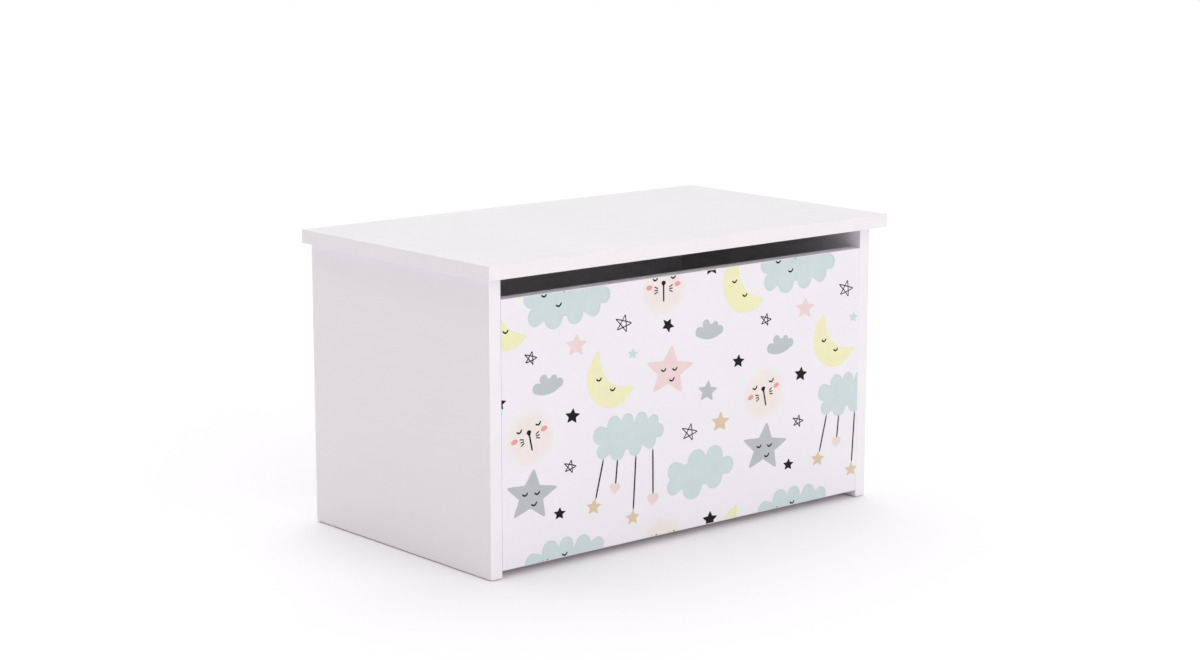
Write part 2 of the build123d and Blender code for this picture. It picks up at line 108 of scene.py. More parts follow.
class PrintSettings(bpy.types.PropertyGroup):
    """Repeat, ink thickness and ink colours of the print on the front panel."""
    left_shift: length("Left shift", "The whole print's shift to the left", 3 * MM)
    repeat_width: length("Repeat width", "Width after which the print starts again", 404 * MM)
    repeat_height: length("Repeat height", "Height after which the print starts again", 340 * MM)
    ink_height: length("Ink height", "How far a coloured shape stands above the film", 0.05 * MM)
    line_height: length("Line height", "How far a drawn line stands above the film", 0.08 * MM)
    ink_depth: length("Ink depth", "How far the ink reaches into the film", 0.05 * MM)
    mint: chip("Mint", "Large clouds", 207, 220, 220)
    slate: chip("Slate", "Small clouds", 192, 199, 201)
    grey: chip("Grey", "Grey stars", 189, 192, 195)
    yellow: chip("Yellow", "Moons", 241, 238, 194)
    pink: chip("Pink", "Pink stars and hearts", 239, 215, 214)
    tan: chip("Tan", "Tan stars", 220, 201, 170)
    peach: chip("Peach", "Animal faces", 242, 232, 226)
    blush: chip("Blush", "Cheeks", 232, 162, 163)
    black: chip("Black", "Black stars and drawn lines", 5, 5, 7)


class FittingSettings(bpy.types.PropertyGroup):
    """Colours, gloss and sizes of the fittings."""
    steel: chip("Steel", "Plated hinges, screws and clips, and the strut's rod", 196, 195, 192)
    zinc: chip("Zinc", "Cams, cam bolts and the strut's brackets and piston", 176, 178, 182)
    strut: chip("Strut", "Painted tube and plastic ends of the gas strut", 24, 24, 26)
    beech: chip("Beech", "Beech dowels", 205, 170, 128)
    bumper: chip("Bumper", "Soft bumpers under the lid", 214, 213, 208)
    bumper_radius: length("Bumper radius", "Radius of a bumper", 5 * MM)
    steel_roughness: share("Steel roughness", "Roughness of the hinges and their pins", 0.3)
    screw_roughness: share("Screw roughness", "Roughness of the screws and clips", 0.26)
    zinc_roughness: share("Zinc roughness", "Roughness of the cams, cam bolts and strut brackets", 0.42)
    strut_roughness: share("Strut roughness", "Roughness of the strut's paint", 0.34)
    rod_roughness: share("Rod roughness", "Roughness of the strut's chromed rod", 0.1)
    plastic_roughness: share("Plastic roughness", "Roughness of the hard plastic parts", 0.5)
    beech_roughness: share("Beech roughness", "Roughness of the dowels", 0.6)
    bumper_roughness: share("Bumper roughness", "Roughness of the bumpers", 0.38)


class StageSettings(bpy.types.PropertyGroup):
    """Floor, light and camera."""
    floor: chip("Floor", "Paper that the box stands on", 254, 252, 254)
    floor_radius: length("Floor radius", "Radius of the paper", 100.0)
    sky: FloatProperty(name="Sky", description="Strength of the even white light", default=0.46, min=0)
    softness: angle("Softness", "Angle that each lamp fills", 70)
    front: FloatProperty(name="Front lamp", description="Strength of the lamp in front", default=0.98, min=0)
    front_height: angle("Front lamp height", "Angle of the front lamp above the floor", 35)
    front_turn: angle("Front lamp turn", "Turn of the front lamp from the front towards the right", 0)
    back: FloatProperty(name="Back lamp", description="Strength of the lamp behind", default=1.44, min=0)
    back_height: angle("Back lamp height", "Angle of the back lamp above the floor", 65)
    back_turn: angle("Back lamp turn", "Turn of the back lamp from the front towards the right", 158)
    camera_back: length("Camera back", "Camera in front of the box's middle", 2.6146)
    camera_left: length("Camera left", "Camera left of the box's middle", 2.2261)
    camera_up: length("Camera up", "Camera above the floor", 0.9013)
    camera_turn: angle("Camera turn", "Turn of the view to the right from straight ahead", 40.43)
    camera_tilt: angle("Camera tilt", "Tilt of the view below level", 10.726)
    lens: FloatProperty(name="Lens", description="Focal length", default=77.19, subtype="DISTANCE_CAMERA")


class ToyBoxSettings(bpy.types.PropertyGroup):
    """Every setting of the toy box."""
    board: PointerProperty(type=BoardSettings, name="Boards", description="Boards, edging and film")
    ink: PointerProperty(type=PrintSettings, name="Print", description="Print on the front panel")
    fitting: PointerProperty(type=FittingSettings, name="Fittings", description="Fittings")
    stage: PointerProperty(type=StageSettings, name="Stage", description="Floor, light and camera")


# ---- Materials ----
class Recipe:
    """A material being put together: its node tree, its shader and the place on the piece."""

    def __init__(self, name):
        self.material = bpy.data.materials.new(name)
        self.material.use_nodes = True
        self.tree = self.material.node_tree
        self.shader = self.tree.nodes["Principled BSDF"]
        self.place = self.add("ShaderNodeTexCoord").outputs["Object"]

    def add(self, kind, inputs=None, **settings):
        """Node with its settings, and with its inputs set or linked by name or number."""
        node = self.tree.nodes.new(kind)
        for name, value in settings.items():
            setattr(node, name, value)
        for key, value in (inputs or {}).items():
            self.put(node, key, value)
        return node

    def put(self, node, key, value):
        """Sets one input to a value, or links a node's output to it."""
        if isinstance(value, bpy.types.NodeSocket):
            self.tree.links.new(value, node.inputs[key])
        else:
            node.inputs[key].default_value = value

    def surface(self, **values):
        """Sets or links the shader's inputs, named with underscores for spaces."""
        for name, value in values.items():
            self.put(self.shader, name.replace("_", " ").title().replace("Ior", "IOR"), value)

    def noise(self, scale, stretch=(1, 1, 1), detail=3.0, roughness=0.5):
        """Noise of so many lumps a metre, drawn out along the axes with a small stretch."""
        place = self.add("ShaderNodeMapping", {"Vector": self.place, "Scale": stretch}).outputs["Vector"]
        inputs = {"Vector": place, "Scale": scale, "Detail": detail, "Roughness": roughness}
        return self.add("ShaderNodeTexNoise", inputs).outputs["Fac"]

    def span(self, value, low, high):
        """Value from 0.3 to 0.7, about where noise lies, carried over to the range from low to high."""
        inputs = {"Value": value, "From Min": 0.3, "From Max": 0.7, "To Min": low, "To Max": high}
        return self.add("ShaderNodeMapRange", inputs).outputs["Result"]

    def mix(self, factor, first, second):
        """Colour between two colours, which are inputs 6 and 7 and output 2 of the node."""
        node = self.add("ShaderNodeMix", data_type="RGBA")
        for number, value in ((0, factor), (6, first), (7, second)):
            self.put(node, number, value)
        return node.outputs[2]

    def relief(self, height, depth, strength=1.0, under=None):
        """Bump of a height pattern, on top of an earlier bump if there is one."""
        inputs = {"Height": height, "Distance": depth, "Strength": strength}
        if under:
            inputs["Normal"] = under
        return self.add("ShaderNodeBump", inputs).outputs["Normal"]


def shaded(tint, factor):
    """The colour, made lighter or darker, with full opacity."""
    return tuple(min(1.0, part * factor) for part in tint[:3]) + (1.0,)


def board_finish(name, tint, roughness, along):
    """Melamine face: a pearl of tiny lumps, and faint streaks drawn out along X, 0, or Y, 1."""
    recipe = Recipe(name)
    stretch = [1.0, 1.0, 1.0]
    stretch[along] = 0.06
    streaks = recipe.noise(90, stretch, detail=5)
    pearl = recipe.noise(1100, detail=2)
    cloudy = recipe.noise(5)
    normal = recipe.relief(streaks, 0.00001, 0.4)
    recipe.surface(
        base_color=recipe.mix(recipe.span(streaks, 0, 1), shaded(tint, 0.992), shaded(tint, 1.004)),
        roughness=recipe.span(cloudy, roughness - 0.03, roughness + 0.04),
        normal=recipe.relief(pearl, 0.00002, 0.35, normal),
        specular_ior_level=0.45,
    )
    return recipe.material


def edging_finish(name, tint, roughness):
    """Plastic edging: smooth, with a trace of the scraper's fine lines."""
    recipe = Recipe(name)
    scraped = recipe.noise(700, (0.05, 1, 1), detail=2)
    mottled = recipe.noise(40)
    recipe.surface(
        base_color=recipe.mix(recipe.span(mottled, 0, 1), shaded(tint, 0.99), shaded(tint, 1.01)),
        roughness=recipe.span(scraped, roughness - 0.04, roughness + 0.05),
        normal=recipe.relief(scraped, 0.00001, 0.3),
        specular_ior_level=0.5,
    )
    return recipe.material


def film_finish(name, tint, roughness):
    """White ground of the print: satin film with a fine even tooth."""
    recipe = Recipe(name)
    tooth = recipe.noise(1500, detail=2)
    wash = recipe.noise(14, detail=4)
    recipe.surface(
        base_color=recipe.mix(recipe.span(wash, 0, 1), shaded(tint, 0.99), shaded(tint, 1.006)),
        roughness=recipe.span(tooth, roughness - 0.04, roughness + 0.04),
        normal=recipe.relief(tooth, 0.00001, 0.3),
        specular_ior_level=0.4,
    )
    return recipe.material


def ink_finish(name, tint, roughness, ground=None, fade=0.0):
    """Ink with a watery mottle. Its rim is a little stronger, or it fades into the ground over a share of
    the way out."""
    recipe = Recipe(name)
    rim = recipe.add("ShaderNodeAttribute", attribute_name="rim").outputs["Fac"]
    wash = recipe.noise(38, detail=6, roughness=0.6)
    body = recipe.mix(recipe.span(wash, 0, 1), shaded(tint, 0.965), shaded(tint, 1.025))
    start = 1 - fade if fade else 0.9
    inputs = {"Value": rim, "From Min": start, "From Max": 1.0, "To Min": 0.0, "To Max": 1.0}
    edge = recipe.add("ShaderNodeMapRange", inputs, interpolation_type="SMOOTHSTEP").outputs["Result"]
    tooth = recipe.noise(1500, detail=2)
    recipe.surface(
        base_color=recipe.mix(edge, body, shaded(ground, 1.0) if fade else shaded(tint, 0.96)),
        roughness=recipe.span(tooth, roughness - 0.04, roughness + 0.04),
        normal=recipe.relief(tooth, 0.00001, 0.3),
        specular_ior_level=0.2,
    )
    return recipe.material


def metal_finish(name, tint, roughness, stretch, grain=1400, coat=0.0):
    """Metal with a fine grain, drawn out into lines along an axis with a small stretch."""
    recipe = Recipe(name)
    lines = recipe.noise(grain, stretch, detail=3)
    stain = recipe.noise(60)
    recipe.surface(
        base_color=recipe.mix(recipe.span(stain, 0, 1), shaded(tint, 0.9), shaded(tint, 1.05)),
        metallic=1.0,
        roughness=recipe.span(lines, roughness * 0.8, roughness * 1.25),
        normal=recipe.relief(lines, 0.00001, 0.35),
        coat_weight=coat,
    )
    return recipe.material


def paint_finish(name, tint, roughness, peel=260):
    """Sprayed or moulded black: slight orange peel under a soft gloss."""
    recipe = Recipe(name)
    skin = recipe.noise(peel, detail=2)
    dust = recipe.noise(30)
    recipe.surface(
        base_color=recipe.mix(recipe.span(dust, 0, 1), shaded(tint, 0.85), shaded(tint, 1.3)),
        roughness=recipe.span(skin, roughness - 0.05, roughness + 0.08),
        normal=recipe.relief(skin, 0.00003, 0.35),
        coat_weight=0.15,
    )
    return recipe.material


def plastic_finish(name, tint, roughness, softness=0.0):
    """Moulded plastic or soft rubber with an eroded tool texture."""
    recipe = Recipe(name)
    eroded = recipe.noise(1800, detail=2)
    flow = recipe.noise(90)
    recipe.surface(
        base_color=recipe.mix(recipe.span(flow, 0, 1), shaded(tint, 0.96), shaded(tint, 1.03)),
        roughness=recipe.span(eroded, roughness - 0.05, roughness + 0.08),
        normal=recipe.relief(eroded, 0.00001, 0.4),
        subsurface_weight=softness,
        subsurface_radius=(0.002, 0.002, 0.002),
    )
    return recipe.material


def beech_finish(name, tint, roughness):
    """Turned beech: long fibres along the dowel with short dark flecks."""
    recipe = Recipe(name)
    fibres = recipe.noise(900, (0.12, 1, 1), detail=5)
    flecks = recipe.noise(1300, (0.3, 1, 1), detail=1)
    inputs = {"Value": flecks, "From Min": 0.62, "From Max": 0.7, "To Min": 0.0, "To Max": 0.6}
    mark = recipe.add("ShaderNodeMapRange", inputs).outputs["Result"]
    wood = recipe.mix(recipe.span(fibres, 0, 1), shaded(tint, 0.82), shaded(tint, 1.08))
    recipe.surface(
        base_color=recipe.mix(mark, wood, shaded(tint, 0.5)),
        roughness=recipe.span(fibres, roughness - 0.05, roughness + 0.08),
        normal=recipe.relief(fibres, 0.00005, 0.5),
    )
    return recipe.material


# ---- CAD nodes ----
def nodes_of(slot):
    """Names of the CAD nodes with one material slot, in the record's order."""
    return [part["node"] for part in frame["record"]["subparts"] if part["material_slot"] == slot]


def finish_nodes(names, material):
    """Puts a material into every material slot of the named CAD nodes."""
    if not names:
        raise RuntimeError(f"no CAD node takes {material.name}")
    for name in names:
        for place in frame["nodes"][name].material_slots:
            place.material = material


# ---- Surfaces from grids ----
def build_mesh(name, grids, flat_side=None):
    """Mesh of several grids of points, rows by columns by 4: three coordinates and the rim's share.
    Points that fall together, at a seam or a pole, become one. Faces look to the flat side, or outwards
    from a closed shape."""
    points, faces, start = [], [], 0
    for grid in grids:
        rows, columns = grid.shape[:2]
        number = start + np.arange(rows * columns).reshape(rows, columns)
        corners = (number[:-1, :-1], number[1:, :-1], number[1:, 1:], number[:-1, 1:])
        faces.append(np.stack(corners, -1).reshape(-1, 4))
        points.append(grid.reshape(-1, 4))
        start += rows * columns
    points, faces = np.concatenate(points), np.concatenate(faces)
    mesh = bpy.data.meshes.new(name)
    mesh.from_pydata(points[:, :3], [], faces.tolist())
    mesh.attributes.new("rim", "FLOAT", "POINT").data.foreach_set("value", points[:, 3].astype(np.float32))
    body = bmesh.new()
    body.from_mesh(mesh)
    bmesh.ops.remove_doubles(body, verts=body.verts, dist=1e-7)
    if flat_side:
        backward = [face for face in body.faces if face.normal.dot(flat_side) < 0]
        bmesh.ops.reverse_faces(body, faces=backward)
    else:
        bmesh.ops.recalc_face_normals(body, faces=body.faces)
    body.to_mesh(mesh)
    body.free()
    return mesh


def add_piece(mesh, material, body):
    """Object at the origin with the mesh and the material, riding on a body."""
    piece = bpy.data.objects.new(mesh.name, mesh)
    bpy.context.scene.collection.objects.link(piece)
    mesh.materials.append(material)
    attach(piece, body)
    return piece


# ---- Motifs ----
# A motif is a list of grids, in mm, about its own middle: rows by columns by 3, with x to the right,
# z upwards and the rim's share, which is 1 at a shape's outline and 0 inside.
def filled(outline, rings=6):
    """Shape inside an outline: the point at share s and step t is s times the outline's point at t."""
    outward = np.linspace(0, 1, rings + 1)[:, None]
    points = outward[:, :, None] * outline
    return np.dstack([points, np.broadcast_to(outward, points.shape[:2])])


def outline_of(bearing, reach):
    """Points at a reach from the middle along each bearing."""
    return np.stack([reach * np.cos(bearing), reach * np.sin(bearing)], -1)


def once_round(count):
    """Bearings once round, with the first one again at the end."""
    return np.linspace(0, 2 * np.pi, count + 1)


def cloud(lobes, half_width, top, bottom):
    """Cloud: along each ray, the farther end of its body and of its round lobes, each given as x, z, radius.
    A ray at bearing t leaves a lobe of radius r, whose centre is d away at bearing a,
    at d cos(t - a) + root(r² - d² sin²(t - a)). The body is half of one ellipse above its middle and half of
    another below."""
    ray = once_round(360)
    x, z, radius = np.array(lobes).T
    away = np.hypot(x, z)
    off = ray[:, None] - np.arctan2(z, x)
    inside = radius ** 2 - (away * np.sin(off)) ** 2
    reach = np.where(inside > 0, away * np.cos(off) + np.sqrt(np.maximum(inside, 0)), 0)
    half_height = np.where(np.sin(ray) < 0, bottom, top)
    body = 1 / np.hypot(np.cos(ray) / half_width, np.sin(ray) / half_height)
    return [filled(outline_of(ray, np.maximum(reach.max(1), body)))]


def billowy_cloud(scale=1.0):
    """Wide cloud with four lobes above, four below and one at each end."""
    lobes = ((-48, 8, 12), (-24.5, 18.5, 11.7), (-2, 20.5, 10), (21.5, 18.3, 10.7), (42.3, 13.6, 9.2),
             (51, 0, 9.4), (36.3, -12, 10.3), (10.7, -16, 11.3), (-19, -16.5, 12.8), (-43.4, -13.5, 10.6))
    return cloud(np.array(lobes) * scale, 46 * scale, 17 * scale, 17 * scale)


def plump_cloud():
    """Cloud with seven uneven lobes."""
    lobes = ((-6.6, 15.4, 16.5), (24.7, 17.5, 15.3), (47.2, 2.5, 12.3), (24, -10.5, 15.5),
             (-14.5, -17.3, 17.3), (-47.5, -12.3, 11.5), (-45, 7.5, 13))
    return cloud(lobes, 44, 18, 18)


def small_cloud():
    """Little cloud with a plain rounded underside."""
    lobes = ((-17.7, -1.3, 7), (-5.8, 7.9, 6.3), (10.3, 5, 5.2), (18.7, -2.1, 6), (2, 0, 7.4))
    return cloud(lobes, 24, 3, 12.6)


def star(radius, notch=0.47, wide=1.12, high=0.92):
    """Five-pointed star. The straight side from a tip at R to the notch at n lies, f degrees from the tip,
    at R n sin 36 / (R sin f + n sin(36 - f)). The angle from the nearest tip is arccos(0.985 cos 5t) / 5,
    which never comes down to 0 and so rounds the tips off, and the star is 1.07 larger to make up for it."""
    sharpness, growth = 0.985, 1.07
    ray = once_round(160)
    fold = np.arccos(sharpness * np.cos(5 * (ray - np.pi / 2))) / 5
    side = np.pi / 5
    dent = notch * radius
    reach = radius * dent * np.sin(side) / (radius * np.sin(fold) + dent * np.sin(side - fold))
    return [filled(outline_of(ray, growth * reach) * (wide, high))]


def disc(width, height):
    """Uneven disc: an ellipse whose reach swells by 1.5 percent three times round."""
    ray = once_round(96)
    return [filled(outline_of(ray, 1 + 0.015 * np.cos(3 * ray + 1)) * (width / 2, height / 2), rings=12)]


def heart(width, height):
    """Heart: x is sin³t and z is 13 cos t - 5 cos 2t - 2 cos 3t - cos 4t, scaled to the width and height."""
    step = once_round(72)
    x = np.sin(step) ** 3
    z = (13 * np.cos(step) - 5 * np.cos(2 * step) - 2 * np.cos(3 * step) - np.cos(4 * step)) / 29
    return [filled(np.stack([x * width / 2, z * height], -1))]


def arc(chord, depth):
    """Points from end to end of an arc that hangs s below its chord c: its radius is c²/8s + s/2."""
    radius = chord ** 2 / (8 * depth) + depth / 2
    turn = np.linspace(-1, 1, 97) * 2 * math.atan2(2 * depth, chord)
    return np.stack([radius * np.sin(turn), radius * (1 - np.cos(turn)) - depth], -1)


def moon():
    """Crescent: the points a share t of the way from an inner arc to an outer arc. Its ends, where q is -1
    and 1, bulge along the chord by 4t(1 - t) q¹⁵ of a tip's length."""
    tip = 3.0
    across = np.linspace(0, 1, 13)[:, None, None]
    points = (1 - across) * arc(70.0, 17.0) + across * arc(80.0, 51.0)
    ends = np.linspace(-1, 1, points.shape[1])[:, None] ** 15 * (1.0, 0.0)
    points = points + tip * 4 * across * (1 - across) * ends
    rim = np.broadcast_to(abs(2 * across[:, :, 0] - 1), points.shape[:2])
    return [np.dstack([points, rim])]


def stroke(start, end, width, bow=0.0):
    """Drawn line: the straight way from start to end, moved sideways by bow (1 - q²), with q from -1 to 1.
    Its half width is w root(1 - q¹⁰) / 2, which rounds both ends."""
    q = np.linspace(-1, 1, 21)[:, None]
    start, end = np.array(start, float), np.array(end, float)
    ahead = (end - start) / np.hypot(*(end - start))
    left = np.array((-ahead[1], ahead[0]))
    line = (start + end) / 2 + q * (end - start) / 2 + bow * (1 - q ** 2) * left
    way = np.gradient(line, axis=0)
    way /= np.hypot(way[:, :1], way[:, 1:])
    side = np.hstack([-way[:, 1:], way[:, :1]]) * width / 2 * np.sqrt(1 - q ** 10)
    return [np.dstack([np.stack([line - side, line + side]), np.zeros((2, len(q)))])]


def drawn_star(radius):
    """Star drawn in one go, from each tip to the next but one. Its tips stand up to 5 percent too far out or
    in, so the last line ends beside the first tip, and its lines bow by up to 0.6 to either side."""
    tip = np.radians(90 + 144 * np.arange(6))
    tips = outline_of(tip, radius * (1 + 0.05 * np.cos(2.3 * np.arange(6)))) * (1.12, 0.92)
    grids = []
    for number in range(5):
        grids += stroke(tips[number], tips[number + 1], width=1.4, bow=0.6 * math.cos(2.1 * number))
    return grids


def closed_eye(wide=8.6):
    """Closed eye or small smile: a sagging line that ends a little higher on the right."""
    return stroke((-wide / 2, 0.3), (wide / 2, 2.2), width=2.2, bow=-3.4)


def turned(points, tilt):
    """Points, whose last axis is x and z, turned by tilt degrees."""
    across, up = math.cos(math.radians(tilt)), math.sin(math.radians(tilt))
    return points @ np.array(((across, up), (-up, across)))


def moved(grids, x, z, tilt=0.0):
    """Motif turned by tilt degrees and then put at x, z."""
    return [np.dstack([turned(grid[:, :, :2], tilt) + (x, z), grid[:, :, 2]]) for grid in grids]


def sleepy_face(x, z, eyes, mouth):
    """Two closed eyes at the two offsets from x, z, and a small smile at the third."""
    marks = [grid for dx, dz in eyes for grid in moved(closed_eye(), x + dx, z + dz, -6)]
    return marks + moved(closed_eye(9.4), x + mouth[0], z + mouth[1], 4)


def animal_face():
    """Lines of a round animal's face about its nose: eyes, nose, muzzle line and whiskers."""
    eyes = moved(closed_eye(), -14.5, 7, -4) + moved(closed_eye(), 16.5, 7, -4)
    nose = moved(disc(7.4, 5.6), 0, 0.5) + moved(disc(4.4, 5.0), 0, -1.4)
    muzzle = stroke((0, -1), (0.2, -24.5), width=2.5)
    whiskers = []
    for side in (-1, 1):
        for lean in (-4.2, 0, 4.2):
            whiskers += stroke((side * 9.6, -8 - 0.5 * lean), (side * 15.8, -8 - 1.1 * lean), width=1.6)
    return eyes + nose + muzzle + whiskers


def put_each(motif, places):
    """Copies of a motif, one at each x, z and tilt."""
    return [grid for place in places for grid in moved(motif, *place)]


def print_ink(name, motifs, material, height):
    """One colour of the print. Each shape stands at every repeat that reaches the film, and is cut off at
    the film's borders. The ink is a closed layer from inside the film to its height above the film."""
    settings = bpy.context.scene.toy_box.ink
    low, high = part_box("front_print_film")
    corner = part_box("front_panel_edging")[0]
    grids = []
    for column in (-1, 0, 1):
        for row in (-1, 0, 1):
            across = corner.x - settings.left_shift + column * settings.repeat_width
            shift = (across, corner.z + row * settings.repeat_height)
            for number, grid in enumerate(motifs):
                x, z = (grid[:, :, axis] * MM + shift[axis] for axis in (0, 1))
                if x.max() > low.x and x.min() < high.x and z.max() > low.z and z.min() < high.z:
                    y = np.full_like(x, low.y - height - INK_STEP * (number % INK_HEIGHTS))
                    grids.append(np.dstack([x, y, z, grid[:, :, 2]]))
    mesh = build_mesh(name, grids, flat_side=(0, -1, 0))
    sheet = bmesh.new()
    sheet.from_mesh(mesh)
    for point, outward in ((low, (-1, 0, 0)), (high, (1, 0, 0)), (low, (0, 0, -1)), (high, (0, 0, 1))):
        everything = sheet.verts[:] + sheet.edges[:] + sheet.faces[:]
        bmesh.ops.bisect_plane(sheet, geom=everything, plane_co=point, plane_no=outward, clear_outer=True)
    sheet.to_mesh(mesh)
    sheet.free()
    piece = add_piece(mesh, material, "box")
    layer = piece.modifiers.new("Ink layer", "SOLIDIFY")
    layer.thickness = height + settings.ink_depth
    layer.offset = -1


def fill_ink(name, motifs, tint, on_top=False, **fading):
    """Coloured shapes in one ink, which may fade out, on the film or on top of another ink."""
    settings = bpy.context.scene.toy_box
    shade = getattr(settings.ink, tint)
    material = ink_finish(f"ink_{name}", shade, settings.board.film_roughness, **fading)
    height = settings.ink.line_height if on_top else settings.ink.ink_height
    print_ink(name, motifs, material, height)


def line_ink(name, motifs):
    """Drawn lines in black ink."""
    settings = bpy.context.scene.toy_box
    material = ink_finish(f"ink_{name}", settings.ink.black, settings.board.film_roughness)
    print_ink(name, motifs, material, settings.ink.line_height)


# ---- Operators ----
class MakeBoards(bpy.types.Operator):
    """Give the six boards their white melamine faces"""
    bl_idname = "toy_box.boards"
    bl_label = "Boards"

    def execute(self, context):
        board = context.scene.toy_box.board
        upright = [name for name in nodes_of("white_board") if "side" in name]
        lying = [name for name in nodes_of("white_board") if "side" not in name]
        finish_nodes(upright, board_finish("melamine_upright", board.board, board.board_roughness, along=1))
        finish_nodes(lying, board_finish("melamine_long", board.board, board.board_roughness, along=0))
        return {"FINISHED"}


class MakeEdging(bpy.types.Operator):
    """Give the edging strips their plastic finish"""
    bl_idname = "toy_box.edging"
    bl_label = "Edging"

    def execute(self, context):
        board = context.scene.toy_box.board
        finish_nodes(nodes_of("white_edging"), edging_finish("edging", board.edging, board.edging_roughness))
        return {"FINISHED"}


class MakeJointFittings(bpy.types.Operator):
    """Finish the dowels, the cam fittings and their covers, the strut's brackets and the glides"""
    bl_idname = "toy_box.joint_fittings"
    bl_label = "Joint fittings"

    def execute(self, context):
        fitting = context.scene.toy_box.fitting
        board = context.scene.toy_box.board
        zinc = metal_finish("zinc", fitting.zinc, fitting.zinc_roughness, (1, 1, 1), 500)
        plastic = plastic_finish("white_plastic", board.board, fitting.plastic_roughness)
        finish_nodes(nodes_of("beech_dowel"), beech_finish("beech", fitting.beech, fitting.beech_roughness))
        finish_nodes(nodes_of("zinc_fitting"), zinc)
        finish_nodes(nodes_of("white_plastic"), plastic)
        return {"FINISHED"}


class MakeHinges(bpy.types.Operator):
    """Finish the hinges, the screws and the strut's clips"""
    bl_idname = "toy_box.hinges"
    bl_label = "Hinges and screws"

    def execute(self, context):
        fitting = context.scene.toy_box.fitting
        rolled = metal_finish("hinge_steel", fitting.steel, fitting.steel_roughness, (0.04, 1, 1))
        turned_steel = metal_finish("screw_steel", fitting.steel, fitting.screw_roughness, (1, 1, 0.3), 900)
        finish_nodes(nodes_of("hinge_steel"), rolled)
        finish_nodes(nodes_of("screw_steel"), turned_steel)
        return {"FINISHED"}


class MakeStrut(bpy.types.Operator):
    """Finish the gas strut's tube, rod and plastic ends"""
    bl_idname = "toy_box.strut"
    bl_label = "Gas strut"

    def execute(self, context):
        fitting = context.scene.toy_box.fitting
        paint = paint_finish("strut_paint", fitting.strut, fitting.strut_roughness)
        chrome = metal_finish("rod_chrome", fitting.steel, fitting.rod_roughness, (1, 1, 1), 2500, coat=0.3)
        plastic = paint_finish("black_plastic", fitting.strut, fitting.plastic_roughness, peel=1400)
        finish_nodes(nodes_of("strut_black"), paint)
        finish_nodes(nodes_of("rod_chrome"), chrome)
        finish_nodes(nodes_of("black_plastic"), plastic)
        return {"FINISHED"}


class MakeBumpers(bpy.types.Operator):
    """Make the four soft domed bumpers that the lid comes down on"""
    bl_idname = "toy_box.bumpers"
    bl_label = "Bumpers"

    def execute(self, context):
        fitting = context.scene.toy_box.fitting
        low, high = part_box("lid_bumpers")
        radius = fitting.bumper_radius
        tall = high.z - low.z
        grids = []
        for x in (low.x + radius, high.x - radius):
            for y in (low.y + radius, high.y - radius):
                grids.append(self.dome(x, y, low.z, radius, tall))
        mesh = build_mesh("domed_bumpers", grids)
        mesh.shade_smooth()
        rubber = plastic_finish("bumper_rubber", fitting.bumper, fitting.bumper_roughness, softness=0.4)
        piece = add_piece(mesh, rubber, "box")
        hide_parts("lid_bumpers")
        return {"FINISHED"}

    @staticmethod
    def dome(x, y, bottom, radius, tall):
        """Pad turned about Z: a flat base, then an outline whose radius is R root(1 - h³·⁵) of the height
        share h, up to a crown at the top."""
        lift = np.concatenate([[0.0], np.sin(np.linspace(0, np.pi / 2, 14))])
        reach = radius * np.sqrt(np.maximum(0, 1 - lift ** 3.5))
        reach[0] = 0
        turn = once_round(40)
        level = np.zeros((len(lift), len(turn)))
        return np.stack([
            x + reach[:, None] * np.cos(turn),
            y + reach[:, None] * np.sin(turn),
            (bottom + lift * tall)[:, None] + level,
            level,
        ], -1)


class MakeFilm(bpy.types.Operator):
    """Give the printed film its white ground"""
    bl_idname = "toy_box.film"
    bl_label = "Film"

    def execute(self, context):
        board = context.scene.toy_box.board
        finish_nodes(nodes_of("printed_film"), film_finish("film_ground", board.film, board.film_roughness))
        return {"FINISHED"}


class PrintClouds(bpy.types.Operator):
    """Print the large mint clouds, one of them asleep, and the small grey ones"""
    bl_idname = "toy_box.clouds"
    bl_label = "Clouds"

    def execute(self, context):
        large = moved(billowy_cloud(1.17), 108.4, 330.5) + moved(billowy_cloud(), 210.6, 141.1)
        fill_ink("printed_clouds", large + moved(plump_cloud(), 336.3, 73.5), "mint")
        small = put_each(small_cloud(), ((76.7, 227.3, 7.5), (350.6, 263.3, 0)))
        fill_ink("printed_small_clouds", small, "slate")
        line_ink("printed_cloud_face", sleepy_face(109.5, 333, ((-38.5, 8), (-6.5, 11.5)), (-15, -6.5)))
        return {"FINISHED"}


class PrintMoons(bpy.types.Operator):
    """Print the sleeping yellow moons"""
    bl_idname = "toy_box.moons"
    bl_label = "Moons"

    def execute(self, context):
        moons, eyes = [], []
        for x, z, tilt in ((188, 231, -42.5), (424, 325, -55.5)):
            moons += moved(moon(), x, z, tilt)
            for along, inward in ((-15, -25), (12.5, -21)):
                eye = turned(np.array((along, inward)), tilt)
                eyes += moved(closed_eye(), x + eye[0], z + eye[1], -6)
        fill_ink("printed_moons", moons, "yellow")
        line_ink("printed_moon_eyes", eyes)
        return {"FINISHED"}


